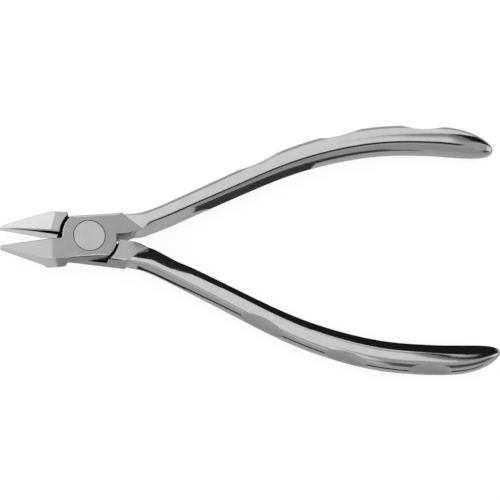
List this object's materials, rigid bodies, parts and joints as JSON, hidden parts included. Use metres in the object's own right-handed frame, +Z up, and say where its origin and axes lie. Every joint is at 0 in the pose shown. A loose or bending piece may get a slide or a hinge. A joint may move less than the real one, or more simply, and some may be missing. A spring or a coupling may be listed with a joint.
{
  "type": "sprue nippers",
  "caption": "Slim steel sprue nippers: forged halves cross in a riveted lap joint, with tapered cutting jaws and bowed handles with finger grooves.",
  "frame": {"origin": "on the pivot axis, at the joint's under face, which is the rivet's tail face", "axes": "+X from the pivot towards the handle ends, midway between the handles; +Y towards the handle of the half whose lap plate is on top; +Z up along the pivot axis"},
  "size_m": [0.1313, 0.0678, 0.0085],
  "materials": {
    "upper_half_steel": "satin brushed flats, polished rounded sides",
    "lower_half_steel": "satin brushed flats, polished rounded sides",
    "rivet_steel": "fine satin, ground flush with the joint"
  },
  "bodies": {
    "upper_half": {"upper_lap_half": "upper_half_steel", "pivot_rivet": "rivet_steel"},
    "lower_half": {"lower_lap_half": "lower_half_steel"}
  },
  "joints": [
    {"name": "pivot", "type": "hinge", "parent": "upper_half", "child": "lower_half", "pos_m": [0, 0, 0.00395], "axis": [0, 0, -1], "range_deg": [-10.6, 24]}
  ]
}
